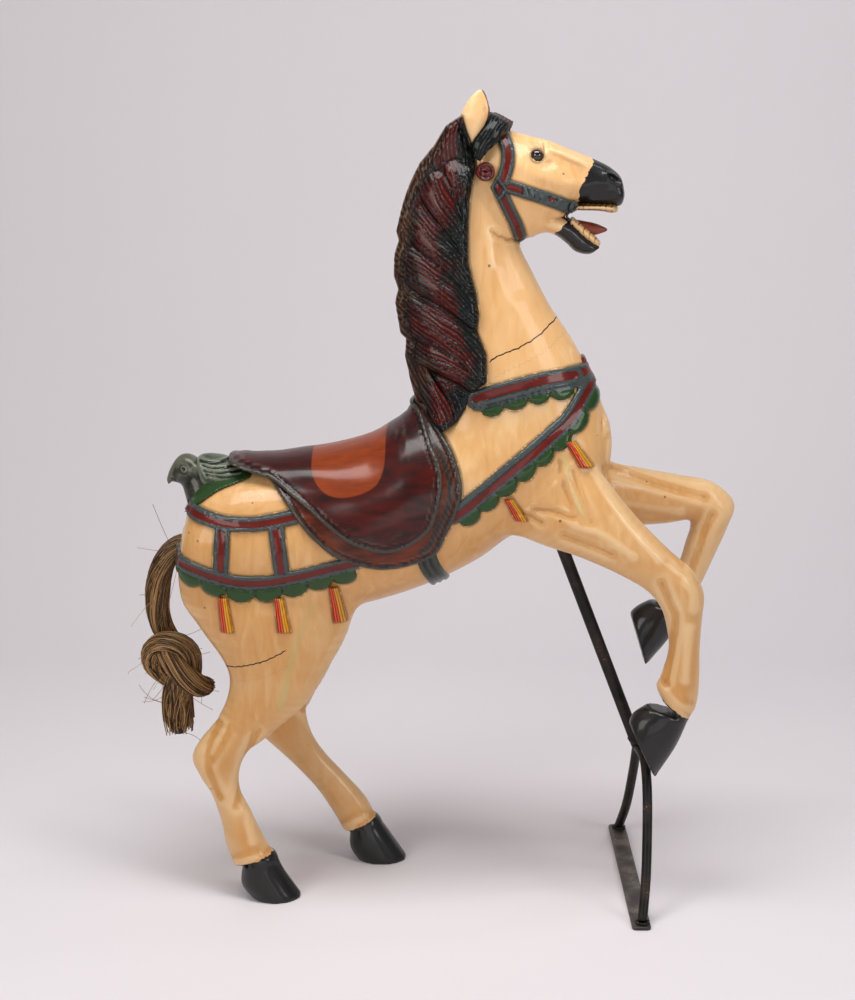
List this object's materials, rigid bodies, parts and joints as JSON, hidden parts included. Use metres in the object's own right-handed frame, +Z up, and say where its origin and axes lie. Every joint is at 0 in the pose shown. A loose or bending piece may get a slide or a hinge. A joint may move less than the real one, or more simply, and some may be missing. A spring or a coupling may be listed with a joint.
{
  "type": "carousel horse on a stand",
  "caption": "Rearing carved wooden carousel horse with painted saddle and trappings, hair tail, glass eyes and a slanting steel stand on a foot plate.",
  "frame": {"origin": "on the floor, under the middle of the object's bounding box", "axes": "+X the way the horse faces, +Z up, -Y the horse's right side, which is the side that the picture shows"},
  "size_m": [0.9789, 0.412, 1.3],
  "materials": {
    "painted_wood": "cream-yellow paint under glossy varnish, crackled and antiqued in the creases",
    "black_paint": "black brushed paint on hooves and muzzle",
    "mane_paint": "dark brown and oxblood carved locks under gloss varnish",
    "saddle_paint": "deep oxblood under high gloss varnish",
    "strap_paint": "maroon with slate blue raised edges",
    "scallop_paint": "dark green with thin gold rims",
    "tassel_paint": "red and yellow",
    "tooth_paint": "ochre teeth and dusty red tongue",
    "eye_glass": "very dark amber glass",
    "horsehair": "mixed dark brown and tan hair",
    "dark_steel": "dark oxidised round bar, chipped in places",
    "foot_plate_steel": "scuffed grey-brown flat bar"
  },
  "bodies": {
    "root": {"carved_horse": "painted_wood", "glass_eye_near": "eye_glass", "glass_eye_far": "eye_glass", "horsehair_tail": "horsehair", "stand_post": "dark_steel", "stand_fork": "dark_steel", "stand_foot_plate": "foot_plate_steel"}
  },
  "joints": []
}
